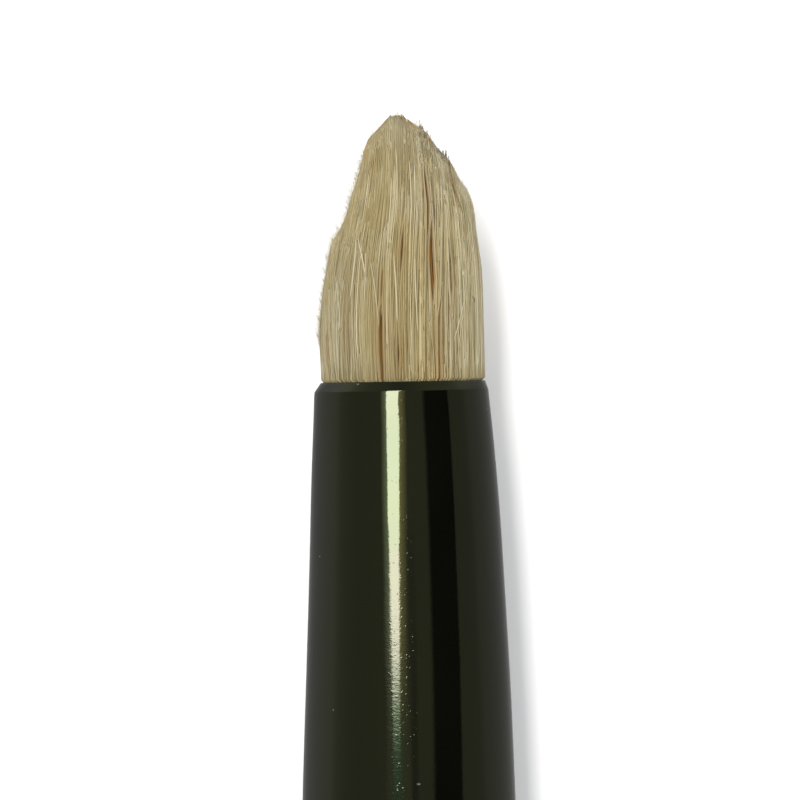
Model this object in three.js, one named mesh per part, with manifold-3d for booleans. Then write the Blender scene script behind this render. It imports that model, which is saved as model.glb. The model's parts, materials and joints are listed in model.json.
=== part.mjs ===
// A thick calligraphy brush lying on its side, in millimetres, +Z up.
//
// The brush's own axis runs along +Y with the tip of the tuft towards +Y. Every part is drawn
// around that axis with y = 0 at the front edge of the barrel (the lip), so the tuft has positive
// y and the handle negative y. At the end the whole brush is tipped until its belly and its tail
// knob both touch the table, and moved so that the origin is the centre of its footprint.

import * as THREE from 'three';
import { mergeVertices } from 'three/addons/utils/BufferGeometryUtils.js';
import Module from 'manifold-3d';

// Facets round a turned part. One facet faces straight down, so the brush lies still.
const SIDES = 32;
const TUFT_SIDES = 24;

// Gap left between parts that are pushed, glued or tied together.
const GAP = 0.3;

// Barrel head: the swelling front part of the handle.
const LIP_RADIUS = 6.22;
const BEVEL_DEPTH = 0.7;
const BEVEL_RADIUS = 6.6;
const BELLY_Y = -60;
const BELLY_RADIUS = 8.7;
const HEAD_END_Y = -120;
const HEAD_END_RADIUS = 4.6;
const SOCKET_RADIUS = 6.05;
const SOCKET_DEPTH = 15;
const TENON_RADIUS = 2.9;
const TENON_LENGTH = 22;

// Collar between the barrel head and the shaft.
const COLLAR_LENGTH = 4;
const COLLAR_RADIUS = 4.85;

// Shaft: the slender rear part of the handle.
const SHAFT_FRONT_Y = HEAD_END_Y - COLLAR_LENGTH - 2 * GAP;
const SHAFT_FRONT_RADIUS = 4.1;
const SHAFT_BACK_Y = -215;
const SHAFT_BACK_RADIUS = 3.5;

// Ring and turned finial at the tail.
const RING_LENGTH = 2.4;
const RING_RADIUS = 3.85;
const FINIAL_FRONT_Y = SHAFT_BACK_Y - RING_LENGTH - 2 * GAP;
const FINIAL_TENON_RADIUS = 2;
const FINIAL_TENON_LENGTH = 11;
const WAIST_RADIUS = 2.6;
const KNOB_Y = -230;
const KNOB_RADIUS = 4.9;
const TAIL_END_Y = -238;
const TAIL_END_RADIUS = 2.4;
const CORD_HOLE_Y = -225.5;
const CORD_HOLE_RADIUS = 1.1;

// Tuft: outer surface at a height above the lip, as far as it reaches to the left and right of
// the axis. It leans to the left and ends in a blunt, uneven tip.
const TUFT_LEFT = [
  [0, 5.75], [1.5, 6.15], [4, 6.25], [9, 5.5], [12, 4.4], [15.7, 3.1], [18.7, 2], [20.2, 0.6],
];
const TUFT_RIGHT = [
  [0, 5.75], [1.5, 6.3], [7, 6.38], [12.7, 5.95], [15, 5.3], [17.1, 3.9], [18.8, 2.6], [20.2, 0.1],
];
const TUFT_TIP_Y = 20.2;
const ROOT_RADIUS = 4.2;
const ROOT_TOP_Y = -5;
const ROOT_END_Y = -12.5;

// Share of the tuft's half width that each bundle of hairs takes, from the axis outwards.
const CORE_SHARE = 0.49;
const BELLY_SHARES = [0.54, 0.79];
const MANTLE_SHARES = [0.84, 1];
const MANTLE_TOP_Y = 18.4;
const BELLY_TOP_Y = 14;

// What holds the tuft in the socket.
const SEAR_THICKNESS = 0.8;
const GLUE_RADIUS = SOCKET_RADIUS - GAP;
const GLUE_WALL = 0.35;
const GLUE_TOP_Y = -3.6;
const THREAD_RADIUS = 0.3;
const THREAD_PITCH = 0.95;
const THREAD_TURNS = 5;
const THREAD_START_Y = -11.6;

const COLOURS = {
  outerHair: '#bdb28c',
  innerHair: '#a3895a',
  thread: '#d8d2c0',
  sear: '#3a2a1c',
  glue: '#c79a4e',
  lacquer: '#20211a',
  horn: '#17130f',
};

const wasm = await Module();
wasm.setup();

function finish(colour, roughness, metalness = 0) {
  return new THREE.MeshStandardMaterial({ color: colour, roughness, metalness });
}

function named(name, geometry, material) {
  const mesh = new THREE.Mesh(geometry, material);
  mesh.name = name;
  return mesh;
}

// A part turned on the lathe: profile is a list of [radius, y].
function turned(profile, sides = SIDES) {
  const points = profile.map(([radius, y]) => new THREE.Vector2(radius, y));
  return new THREE.LatheGeometry(points, sides, Math.PI / sides);
}

// A smooth curve through [radius, y] points, as more of the same.
function smoothProfile(points, steps) {
  const curve = new THREE.SplineCurve(points.map(([radius, y]) => new THREE.Vector2(radius, y)));
  return curve.getPoints(steps).map((point) => [point.x, point.y]);
}

// A straight ring round the axis, from the low y to the high one.
function ringProfile(inner, outer, low, high) {
  return [[inner, low], [outer, low], [outer, high], [inner, high], [inner, low]];
}

// The same geometry with only positions, shared vertices merged and flat triangles dropped.
function weld(geometry) {
  const bare = geometry.clone();
  bare.deleteAttribute('normal');
  bare.deleteAttribute('uv');
  const merged = mergeVertices(bare, 1e-5);
  const corners = merged.index.array;
  const kept = [];
  for (let i = 0; i < corners.length; i += 3) {
    const [a, b, c] = [corners[i], corners[i + 1], corners[i + 2]];
    if (a !== b && b !== c && c !== a) kept.push(a, b, c);
  }
  merged.setIndex(kept);
  return merged;
}

function toSolid(geometry) {
  const welded = weld(geometry);
  const mesh = new wasm.Mesh({
    numProp: 3,
    vertProperties: new Float32Array(welded.attributes.position.array),
    triVerts: new Uint32Array(welded.index.array),
  });
  return new wasm.Manifold(mesh);
}

function toGeometry(solid) {
  const mesh = solid.getMesh();
  const geometry = new THREE.BufferGeometry();
  geometry.setAttribute('position', new THREE.BufferAttribute(mesh.vertProperties, 3));
  geometry.setIndex(new THREE.BufferAttribute(mesh.triVerts, 1));
  geometry.computeVertexNormals();
  return geometry;
}

// Reach of the tuft at y from a table of [y, reach], read along a smooth curve.
function reachAt(table, y) {
  const last = table.length - 1;
  if (y >= table[last][0]) return table[last][1];
  const i = table.findIndex((row, k) => k < last && y < table[k + 1][0]);
  const before = table[Math.max(i - 1, 0)];
  const [from, to] = [table[i], table[i + 1]];
  const after = table[Math.min(i + 2, last)];
  const t = (y - from[0]) / (to[0] - from[0]);
  const width = to[0] - from[0];
  const slopeIn = ((to[1] - before[1]) / (to[0] - before[0])) * width;
  const slopeOut = ((after[1] - from[1]) / (after[0] - from[0])) * width;
  const a = 2 * t ** 3 - 3 * t ** 2 + 1;
  const b = t ** 3 - 2 * t ** 2 + t;
  const c = -2 * t ** 3 + 3 * t ** 2;
  const d = t ** 3 - t ** 2;
  return a * from[1] + b * slopeIn + c * to[1] + d * slopeOut;
}

// Centre and half width of the whole tuft at y: the gathered root, the flare in the socket's
// mouth, then the outline above the lip.
function tuftSection(y) {
  if (y < 0) {
    const t = THREE.MathUtils.smoothstep(y, ROOT_TOP_Y, 0);
    return { centre: 0, half: THREE.MathUtils.lerp(ROOT_RADIUS, TUFT_LEFT[0][1], t) };
  }
  const left = reachAt(TUFT_LEFT, y);
  const right = reachAt(TUFT_RIGHT, y);
  return { centre: (right - left) / 2, half: (right + left) / 2 };
}

// A bundle of hairs: profile is a list of [share of the half width, y].
function bundle(profile) {
  const geometry = turned(profile, TUFT_SIDES);
  const place = geometry.attributes.position;
  for (let i = 0; i < place.count; i += 1) {
    const { centre, half } = tuftSection(place.getY(i));
    place.setX(i, centre + place.getX(i) * half);
    place.setZ(i, place.getZ(i) * half);
  }
  geometry.computeVertexNormals();
  return geometry;
}

// Heights from the root to the given top, closer together where the tuft narrows.
function tuftHeights(top) {
  const free = [0, 1.5, 4, 7, 10, 12.7, 15, 17, 18.4, 19.4].filter((y) => y < top - 0.5);
  return [ROOT_END_Y, ROOT_TOP_Y, -3.4, -1.7, ...free, top];
}

function sleeveOfHairs([inner, outer], top) {
  const up = tuftHeights(top).map((y) => [outer, y]);
  const down = tuftHeights(top).map((y) => [inner, y]).reverse();
  return bundle([...up, ...down, up[0]]);
}

function coreHairs() {
  const side = tuftHeights(TUFT_TIP_Y - 0.3).map((y) => [CORE_SHARE, y]);
  return bundle([[0, ROOT_END_Y], ...side, [0, TUFT_TIP_Y]]);
}

// The thread that ties the gathered root, wound in one close helix.
class WoundThread extends THREE.Curve {
  getPoint(t, target = new THREE.Vector3()) {
    const angle = 2 * Math.PI * THREAD_TURNS * t;
    const radius = ROOT_RADIUS + GAP + THREAD_RADIUS;
    const y = THREAD_START_Y + THREAD_PITCH * THREAD_TURNS * t;
    return target.set(radius * Math.cos(angle), y, radius * Math.sin(angle));
  }
}

function rootThread() {
  const section = new THREE.Shape().absarc(0, 0, THREAD_RADIUS, 0, 2 * Math.PI);
  return new THREE.ExtrudeGeometry(section, {
    extrudePath: new WoundThread(),
    steps: 16 * THREAD_TURNS,
    curveSegments: 3,
    bevelEnabled: false,
  });
}

// The seared ends of the hairs, fused into a hard disc.
function searedRoot() {
  const top = ROOT_END_Y - GAP;
  const low = top - SEAR_THICKNESS;
  const radius = ROOT_RADIUS - 0.2;
  return turned([[0, low], [radius - 0.3, low], [radius, low + 0.3], [radius, top], [0, top]]);
}

// The cup of glue between the tied root and the wall of the socket.
function glueCup() {
  const low = -SOCKET_DEPTH + GAP;
  const floor = ROOT_END_Y - 2 * GAP - SEAR_THICKNESS;
  const inner = GLUE_RADIUS - GLUE_WALL;
  return turned([
    [0, low],
    [GLUE_RADIUS, low],
    [GLUE_RADIUS, GLUE_TOP_Y],
    [inner, GLUE_TOP_Y],
    [inner, floor],
    [0, floor],
  ]);
}

// The swelling head: bevelled lip, long swell to the belly, drawn in to the collar. It is bored
// from the front for the tuft and from the back for the shaft's tenon.
function barrelHead() {
  const boreEnd = HEAD_END_Y + TENON_LENGTH + GAP;
  const boreRadius = TENON_RADIUS + GAP;
  const swell = smoothProfile(
    [
      [HEAD_END_RADIUS + 0.25, HEAD_END_Y + 0.8],
      [5.75, -105],
      [7.65, -85],
      [BELLY_RADIUS, BELLY_Y],
      [8.06, -31.2],
      [7.46, -16.4],
      [7.13, -8.8],
      [BEVEL_RADIUS, -BEVEL_DEPTH],
    ],
    28,
  );
  return turned([
    [0, boreEnd],
    [boreRadius, boreEnd],
    [boreRadius, HEAD_END_Y],
    [HEAD_END_RADIUS, HEAD_END_Y],
    ...swell,
    [LIP_RADIUS, 0],
    [SOCKET_RADIUS, 0],
    [SOCKET_RADIUS, -SOCKET_DEPTH],
    [0, -SOCKET_DEPTH],
  ]);
}

// A rounded bead with a hole for the shaft's tenon.
function jointCollar() {
  const high = HEAD_END_Y - GAP;
  const low = high - COLLAR_LENGTH;
  const middle = (low + high) / 2;
  const inner = TENON_RADIUS + GAP;
  const edge = COLLAR_RADIUS - 0.45;
  const bead = [[edge, low], [COLLAR_RADIUS - 0.1, low + 0.8], [COLLAR_RADIUS, middle]];
  const mirrored = [[COLLAR_RADIUS - 0.1, high - 0.8], [edge, high]];
  return turned([[inner, low], ...bead, ...mirrored, [inner, high], [inner, low]]);
}

function shaft() {
  const tenonEnd = HEAD_END_Y + TENON_LENGTH;
  const boreRadius = FINIAL_TENON_RADIUS + GAP;
  const boreEnd = SHAFT_BACK_Y + FINIAL_TENON_LENGTH + GAP;
  return turned([
    [0, boreEnd],
    [boreRadius, boreEnd],
    [boreRadius, SHAFT_BACK_Y],
    [SHAFT_BACK_RADIUS - 0.2, SHAFT_BACK_Y],
    [SHAFT_BACK_RADIUS, SHAFT_BACK_Y + 0.4],
    [(SHAFT_BACK_RADIUS + SHAFT_FRONT_RADIUS) / 2 + 0.08, (SHAFT_BACK_Y + SHAFT_FRONT_Y) / 2],
    [SHAFT_FRONT_RADIUS, SHAFT_FRONT_Y - 0.4],
    [SHAFT_FRONT_RADIUS - 0.2, SHAFT_FRONT_Y],
    [TENON_RADIUS, SHAFT_FRONT_Y],
    [TENON_RADIUS, tenonEnd - 0.5],
    [TENON_RADIUS - 0.5, tenonEnd],
    [0, tenonEnd],
  ]);
}

function tailRing() {
  const high = SHAFT_BACK_Y - GAP;
  const inner = FINIAL_TENON_RADIUS + GAP;
  return turned(ringProfile(inner, RING_RADIUS, high - RING_LENGTH, high));
}

// Waisted finial with a knob, cut flat at its end and drilled across for a hanging cord.
function tailFinial() {
  const tenonEnd = SHAFT_BACK_Y + FINIAL_TENON_LENGTH;
  const knob = smoothProfile(
    [
      [TAIL_END_RADIUS, TAIL_END_Y],
      [4.3, -235],
      [KNOB_RADIUS, KNOB_Y],
      [3.9, -224.5],
      [WAIST_RADIUS, -220.4],
      [SHAFT_BACK_RADIUS, FINIAL_FRONT_Y - 0.4],
    ],
    14,
  );
  const body = turned([
    [0, TAIL_END_Y],
    ...knob,
    [SHAFT_BACK_RADIUS, FINIAL_FRONT_Y],
    [FINIAL_TENON_RADIUS, FINIAL_FRONT_Y],
    [FINIAL_TENON_RADIUS, tenonEnd],
    [0, tenonEnd],
  ]);
  const drill = new THREE.CylinderGeometry(CORD_HOLE_RADIUS, CORD_HOLE_RADIUS, 14, 16);
  drill.rotateZ(Math.PI / 2);
  drill.translate(0, CORD_HOLE_Y, 0);
  return toGeometry(toSolid(body).subtract(toSolid(drill)));
}

const outerHair = finish(COLOURS.outerHair, 0.75);
const innerHair = finish(COLOURS.innerHair, 0.8);
const lacquer = finish(COLOURS.lacquer, 0.18);
const horn = finish(COLOURS.horn, 0.3);

const brush = new THREE.Group();
brush.add(
  named('core_hairs', coreHairs(), innerHair),
  named('belly_hairs', sleeveOfHairs(BELLY_SHARES, BELLY_TOP_Y), innerHair),
  named('mantle_hairs', sleeveOfHairs(MANTLE_SHARES, MANTLE_TOP_Y), outerHair),
  named('root_thread', rootThread(), finish(COLOURS.thread, 0.9)),
  named('seared_root', searedRoot(), finish(COLOURS.sear, 0.7)),
  named('glue_cup', glueCup(), finish(COLOURS.glue, 0.35)),
  named('barrel_head', barrelHead(), lacquer),
  named('joint_collar', jointCollar(), horn),
  named('shaft', shaft(), lacquer),
  named('tail_ring', tailRing(), horn),
  named('tail_finial', tailFinial(), lacquer),
);

// Tip the brush until the belly and the knob touch the table, then centre its footprint.
brush.rotation.x = Math.atan2(BELLY_RADIUS - KNOB_RADIUS, BELLY_Y - KNOB_Y);
const footprint = new THREE.Box3().setFromObject(brush, true);
brush.position.set(
  -(footprint.min.x + footprint.max.x) / 2,
  -(footprint.min.y + footprint.max.y) / 2,
  -footprint.min.z,
);

const part = new THREE.Group();
part.add(brush);

export default part;
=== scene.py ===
import json
import math

import bmesh
import bpy
import numpy as np
from mathutils import Matrix, Vector

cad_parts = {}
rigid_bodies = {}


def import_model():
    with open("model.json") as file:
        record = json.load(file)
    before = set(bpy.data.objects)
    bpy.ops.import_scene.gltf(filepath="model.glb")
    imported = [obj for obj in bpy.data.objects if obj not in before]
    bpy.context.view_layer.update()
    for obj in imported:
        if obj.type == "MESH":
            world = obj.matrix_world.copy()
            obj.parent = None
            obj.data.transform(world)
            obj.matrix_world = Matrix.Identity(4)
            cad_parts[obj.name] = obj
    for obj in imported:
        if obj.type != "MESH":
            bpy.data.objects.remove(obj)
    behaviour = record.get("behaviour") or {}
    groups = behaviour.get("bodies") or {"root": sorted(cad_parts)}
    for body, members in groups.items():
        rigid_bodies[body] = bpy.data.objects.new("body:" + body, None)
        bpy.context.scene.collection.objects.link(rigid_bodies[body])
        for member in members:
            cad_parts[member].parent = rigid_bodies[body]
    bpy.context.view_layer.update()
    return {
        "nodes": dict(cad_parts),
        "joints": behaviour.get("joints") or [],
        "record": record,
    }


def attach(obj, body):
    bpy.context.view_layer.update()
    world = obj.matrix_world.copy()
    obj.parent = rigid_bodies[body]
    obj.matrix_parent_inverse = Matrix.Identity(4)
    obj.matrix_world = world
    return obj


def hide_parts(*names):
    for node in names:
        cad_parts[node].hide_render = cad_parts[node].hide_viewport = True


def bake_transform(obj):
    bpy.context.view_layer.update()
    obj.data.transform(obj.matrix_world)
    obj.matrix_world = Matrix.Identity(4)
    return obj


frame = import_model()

# Lengths are in millimetres, in the brush's own frame: x to the right, y along the axis towards
# the tip with 0 at the lip of the barrel, and z up out of the table. to_world() turns them into
# the row frame's metres.
MM = 0.001

# Handle
SOCKET_RADIUS = 6.05
SOCKET_DEPTH = 15.0
TENON_BORE_RADIUS = 3.2
TENON_BORE_DEPTH = 22.3
HEAD_TENON_RADIUS = 2.9   # the shaft's tenon, glued into the head
TAIL_BORE_RADIUS = 2.3
TAIL_BORE_DEPTH = 11.3
TAIL_TENON_RADIUS = 2.0   # the finial's tenon, glued into the shaft
BEVEL_DEPTH = 0.7
LIP_SHIFT = 0.13          # the lip was faced slightly off centre, to the right
CORD_HOLE_Y = -225.5
CORD_HOLE_RADIUS = 1.1

# The barrel is turned a little out of true: how far its middle is off to the right, at y
OUT_OF_TRUE = [(-125, 0), (-60, 0.02), (-40, 0.04), (-31.2, 0.064), (-24, 0.14), (-16.4, 0.167),
               (-10, 0.15), (-6.6, 0.11), (-2.8, 0.057), (-1.2, 0.02), (2, 0)]

# Outline of the tuft: its reach to the left and right of the axis, and up and down from it, at
# heights over the lip
REACH_LEFT = [(0, 6.1), (1.6, 6.14), (4, 6.18), (6.2, 5.95), (7.7, 5.74), (9.2, 5.42), (10.4, 5.18),
              (11.1, 4.82), (11.9, 4.3), (13.8, 3.66), (15.3, 3.16), (16.8, 2.72), (18.2, 2.34), (18.9, 1.8),
              (19.6, 1.1), (20.3, 0.5)]
REACH_RIGHT = [(0, 6.46), (3.2, 6.42), (6.2, 6.4), (9.2, 6.26), (10.6, 6.04), (12.6, 5.87), (13.8, 5.62),
               (14.5, 5.3), (15.3, 4.75), (16.8, 3.95), (17.6, 3.2), (18.8, 2.3), (19.5, 1.4), (20.3, 0.5)]
REACH_DEEP = [(0, 5.98), (4, 6.15), (8, 5.95), (12, 5.15), (15, 4.1), (17.5, 2.9), (19.3, 1.7), (20.3, 0.8)]

# Paths of the outermost hairs on the left and right. They run straighter than the outline, which
# their ends make.
PATH_LEFT = [(0, 6.1), (4, 6.2), (7.3, 5.95), (10.2, 5.45), (13, 4.7), (16, 3.95), (20.5, 3.0)]
PATH_RIGHT = [(0, 6.42), (3.3, 6.42), (7, 6.4), (10.2, 6.2), (12.7, 5.95), (15, 5.55), (20.5, 4.3)]

# Height that the ends are trimmed to, at places across the tuft: two low lobes and a slope
TRIM = [(-3.2, 14.9), (-2.7, 16.6), (-2.34, 17.95), (-1.8, 18.7), (-1.1, 19.45), (-0.4, 19.95), (0.2, 19.85),
        (0.75, 19.4), (1.25, 19.5), (1.75, 19.35), (2.3, 18.65), (2.63, 18.0), (3.18, 17.35), (3.98, 16.6),
        (4.7, 15.1), (5.34, 14.3), (5.64, 13.6)]

TIP_Y = 20.2
ROOT_RADIUS = 4.15
ROOT_END_Y = -12.5
ROOT_TOP_Y = -5.0
CORE_SHARE = 0.72
BELLY_SHARE = 0.84
HAIR_RADIUS = 0.066
MOUTH_TOP = 0.22
ALONG_HAIR = [0.1, 0.2, 0.3, 0.4, 0.5, 0.6, 0.7, 0.8, 0.88, 0.95, 0.985, 1]

# Slits where locks stand apart: angles round the axis from straight up at their low and high ends,
# heights, and half opening, in degrees
SLITS = [
    (-14.8, -14.6, 0, 6.4, 2.3),
    (-14.7, -14.4, 6.5, 9.4, 1.3),
    (26.4, 26.6, 0, 6.4, 1.7),
    (23.2, 19.3, 6.2, 13.0, 2.7),
    (19.5, 15.8, 11.6, 17.2, 1.9),
    (-1, -1.5, 8.5, 12.2, 1.7),
    (-2.4, -2.4, 1.6, 4.1, 1.3),
    (36.5, 36.5, 6.8, 9.6, 1.7),
    (34.5, 34.5, 4.8, 6.8, 1.2),
    (46, 48, 13.3, 17.2, 2.2),
    (-29.5, -29, 9.0, 11.0, 1.4),
    (-63, -62, 0, 5.0, 1.4),
    (-40, -40, 2.5, 6.4, 1.2),
    (110, 100, 3, 10, 1.4),
    (150, 155, 0, 6, 1.3),
    (-100, -95, 2, 9, 1.3),
    (-140, -150, 0, 5, 1.4),
    (178, 175, 5, 12, 1.4),
]

# Loose hairs on the front: x and y of the two ends, bow sideways, tone and thickness
STRAYS = [
    (3.9, 2.6, 5.1, 7.2, 0.1, 0.85, 1.1),
    (4.3, 1.6, 4.9, 5.6, -0.05, 0.7, 1.0),
    (-3.15, 11.2, -3.75, 6.2, 0.05, 0.8, 1.4),
    (-3.1, 11.0, -2.45, 7.4, 0.03, 0.85, 1.4),
    (-2.5, 10.0, -2.75, 5.2, 0.05, 0.8, 1.0),
    (-2.2, 9.4, -1.6, 4.0, 0.08, 0.7, 1.0),
    (-4.9, 8.6, -4.5, 3.4, 0.1, 0.85, 1.0),
    (-0.4, 9.7, -0.2, 4.4, 0.04, 0.85, 1.2),
    (1.2, 10.6, 1.35, 3.4, -0.05, 0.8, 1.1),
    (0.9, 16.8, 1.0, 12.2, 0.05, 0.85, 1.0),
    (-0.1, 17.9, -0.05, 13.6, 0.05, 0.75, 1.0),
    (-1.5, 16.4, -1.9, 12.0, -0.05, 0.6, 1.0),
    (3.75, 16.9, 4.9, 12.6, -0.12, 0.0, 1.0),
    (5.2, 6.5, 5.62, 5.85, 0.2, -0.6, 0.7),
    (2.6, 18.4, 3.3, 14.0, 0.05, 0.3, 1.0),
    (5.73, 0.8, 6.0, 3.0, 0.05, 0.9, 1.2),
]

# Stage
PICTURE_WIDTH = 60.64     # mm of table that the picture takes in
CAMERA_HEIGHT = 600.0
AIM = (-0.1, -1.39)       # where the middle of the picture is, over the brush's axis
BRUSH_LEAN = math.radians(0.99)    # how far the brush is turned in the picture
REACH = 0.45              # metres from the lip up to the key and its window
KEY = 31.0                # radiance of the key and the fill
FILL = 0.89

# The window as the lacquer shows it: lean towards the tip, lean of its left and right edges,
# radiance and colour
WINDOW = [
    (35, -20.1, 0.5, 26, (1.0, 1.0, 1.30)),
    (6.6, -20.1, -4.6, 24.4, (1.0, 1.0, 1.29)),
    (5.8, -20.5, -4.5, 23.3, (0.96, 1.0, 1.28)),
    (4.1, -20.5, -6.3, 24.2, (0.95, 1.0, 1.23)),
    (2.3, -21.0, -6.7, 23.7, (0.98, 1.0, 1.20)),
    (1.1, -20.2, -8.1, 23.4, (0.93, 1.0, 1.24)),
    (0.5, -19.8, -8.3, 22.8, (1.14, 1.0, 1.44)),
    (0.2, -18.7, -9.2, 23, (1.18, 1.0, 1.54)),
    (-0.3, -18.0, -9.2, 21.5, (1.10, 1.0, 1.50)),
    (-0.8, -17.4, -9.8, 19, (1.04, 1.0, 1.42)),
    (-1.3, -16.7, -8.6, 11.4, (0.86, 1.0, 1.12)),
    (-1.8, -16.6, -9.4, 3.9, (0.70, 1.0, 1.04)),
    (-2.6, -16.2, -8.4, 1.8, (0.64, 1.0, 0.98)),
    (-3.6, -16.6, -6.4, 0.8, (0.6, 1.0, 0.95)),
    (-7.7, -16.6, -6.0, 0.5, (0.6, 1.0, 0.95)),
]

# The glow beside the window: how far it spreads, its radiance against the window's, and colour.
# It ends at the room's own level.
GLOW_LEFT = (-7.5, 0.12, (0.82, 1.0, 0.72))
GLOW_RIGHT = (9.5, 0.10, (1.15, 1.0, 0.42))
ROOM_LEVEL = 0.54


# ---------------------------------------------------------------- the brush's frame

record = frame["record"]
flex = frame["joints"][0]
tail_end = record["mounts"][0]
LIP = np.array(flex["pos_m"])
UP = np.array(flex["axis"])
FORWARD = -np.array(tail_end["axis"])
RIGHT = np.cross(FORWARD, UP)
AXES = np.array([RIGHT, FORWARD, UP])


def to_world(points):
    return LIP + (np.asarray(points, float) * MM) @ AXES


def to_brush(points):
    return (np.asarray(points, float) - LIP) @ AXES.T / MM


def cad_points(node):
    mesh = frame["nodes"][node].data
    co = np.zeros(len(mesh.vertices) * 3)
    mesh.vertices.foreach_get("co", co)
    return to_brush(co.reshape(-1, 3))


def span(node):
    """Lowest and highest y of a CAD node."""
    y = cad_points(node)[:, 1]
    return float(y.min()), float(y.max())


def cad_radius(node, y):
    """Outer radius of a turned CAD node at y, from the edges that cross that plane."""
    mesh = frame["nodes"][node].data
    edges = np.zeros(len(mesh.edges) * 2, int)
    mesh.edges.foreach_get("vertices", edges)
    co = cad_points(node)
    a, b = co[edges.reshape(-1, 2)[:, 0]], co[edges.reshape(-1, 2)[:, 1]]
    crosses = (a[:, 1] - y) * (b[:, 1] - y) < 0
    a, b = a[crosses], b[crosses]
    t = (y - a[:, 1]) / (b[:, 1] - a[:, 1])
    at = a + (b - a) * t[:, None]
    return float(np.hypot(at[:, 0], at[:, 2]).max())


# ---------------------------------------------------------------- curves

def spline(knots):
    """Natural cubic spline through (x, y) knots, as a function of an array."""
    x, y = np.array(knots, float).T
    h = np.diff(x)
    system = np.eye(len(x))
    right = np.zeros(len(x))
    for i in range(1, len(x) - 1):
        system[i, i - 1:i + 2] = h[i - 1], 2 * (h[i - 1] + h[i]), h[i]
        right[i] = 6 * ((y[i + 1] - y[i]) / h[i] - (y[i] - y[i - 1]) / h[i - 1])
    bend = np.linalg.solve(system, right)

    def read(at):
        at = np.clip(np.asarray(at, float), x[0], x[-1])
        i = np.clip(np.searchsorted(x, at) - 1, 0, len(h) - 1)
        past, left = at - x[i], x[i + 1] - at
        cubic = (bend[i] * left**3 + bend[i + 1] * past**3) / (6 * h[i])
        from_low = (y[i] / h[i] - bend[i] * h[i] / 6) * left
        return cubic + from_low + (y[i + 1] / h[i] - bend[i + 1] * h[i] / 6) * past

    return read


def smoothstep(low, high, value):
    t = np.clip((np.asarray(value, float) - low) / (high - low), 0, 1)
    return t * t * (3 - 2 * t)


def rounded(corners, steps=6):
    """A profile from (radius, y, fillet) corners, with each fillet drawn as a short arc."""
    profile = []
    for i, (r, y, fillet) in enumerate(corners):
        here = np.array([r, y])
        if not fillet or i in (0, len(corners) - 1):
            profile.append(here)
            continue
        before = np.array(corners[i - 1][:2]) - here
        after = np.array(corners[i + 1][:2]) - here
        start = here + before / np.linalg.norm(before) * min(fillet, np.linalg.norm(before) / 2)
        end = here + after / np.linalg.norm(after) * min(fillet, np.linalg.norm(after) / 2)
        for t in np.linspace(0, 1, steps):
            profile.append((1 - t)**2 * start + 2 * t * (1 - t) * here + t**2 * end)
    return [tuple(p) for p in profile]


# ---------------------------------------------------------------- meshes

def new_object(name, mesh, material):
    piece = bpy.data.objects.new(name, mesh)
    bpy.context.scene.collection.objects.link(piece)
    mesh.materials.append(material)
    return piece


def mesh_of(name, points, faces):
    """A smooth mesh from points in the brush's frame and a list of faces."""
    mesh = bpy.data.meshes.new(name)
    mesh.from_pydata(to_world(points).tolist(), [], faces)
    mesh.shade_smooth()
    mesh.update()
    return mesh


def turned(name, profile, material, sides=160, shift=None):
    """A turned piece from (radius, y) points that start and end on the axis, or close on themselves."""
    angles = np.arange(sides) * 2 * math.pi / sides
    closed = np.allclose(profile[0], profile[-1])
    rows = profile[:-1] if closed else profile
    points, rings = [], []
    for radius, y in rows:
        if radius < 1e-6:
            rings.append([len(points)])
            points.append((0.0, y, 0.0))
            continue
        rings.append(list(range(len(points), len(points) + sides)))
        points += [(radius * math.sin(a), y, radius * math.cos(a)) for a in angles]
    points = np.array(points)
    if shift:
        points[:, 0] += shift(points[:, 1])
    if closed:
        rings.append(rings[0])
    faces = []
    for low, high in zip(rings, rings[1:]):
        for k in range(sides):
            n = (k + 1) % sides
            if len(low) == 1:
                faces.append([low[0], high[k], high[n]])
            elif len(high) == 1:
                faces.append([low[k], high[0], low[n]])
            else:
                faces.append([low[k], high[k], high[n], low[n]])
    mesh = mesh_of(name, points, faces)
    mesh.validate()
    sharpen(mesh)
    return new_object(name, mesh, material)


def sharpen(mesh, degrees=40):
    """Faces out, and edges sharper than this shaded as edges."""
    work = bmesh.new()
    work.from_mesh(mesh)
    bmesh.ops.recalc_face_normals(work, faces=work.faces)
    work.to_mesh(mesh)
    work.free()
    mesh.set_sharp_from_angle(angle=math.radians(degrees))


# ---------------------------------------------------------------- materials

class Nodes:
    """An emptied node tree, with short ways to add to it. A value is a number or a (node, output)."""

    def __init__(self, tree):
        self.tree = tree
        tree.nodes.clear()

    def node(self, kind, **values):
        made = self.tree.nodes.new(kind)
        for key, value in values.items():
            setattr(made, key, value)
        return made

    def join(self, value, socket):
        if isinstance(value, tuple):
            self.tree.links.new(value[0].outputs[value[1]], socket)
        else:
            socket.default_value = value

    def maths(self, operation, *values):
        made = self.node("ShaderNodeMath", operation=operation)
        for value, socket in zip(values, made.inputs):
            self.join(value, socket)
        return made, "Value"

    def fade(self, value, start, end, low, high):
        """low where value is at start, high where it is at end, and smooth between them."""
        made = self.node("ShaderNodeMapRange", interpolation_type="SMOOTHSTEP")
        self.join(value, made.inputs["Value"])
        for socket, number in (("From Min", start), ("From Max", end), ("To Min", low), ("To Max", high)):
            made.inputs[socket].default_value = number
        return made, "Result"


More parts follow.
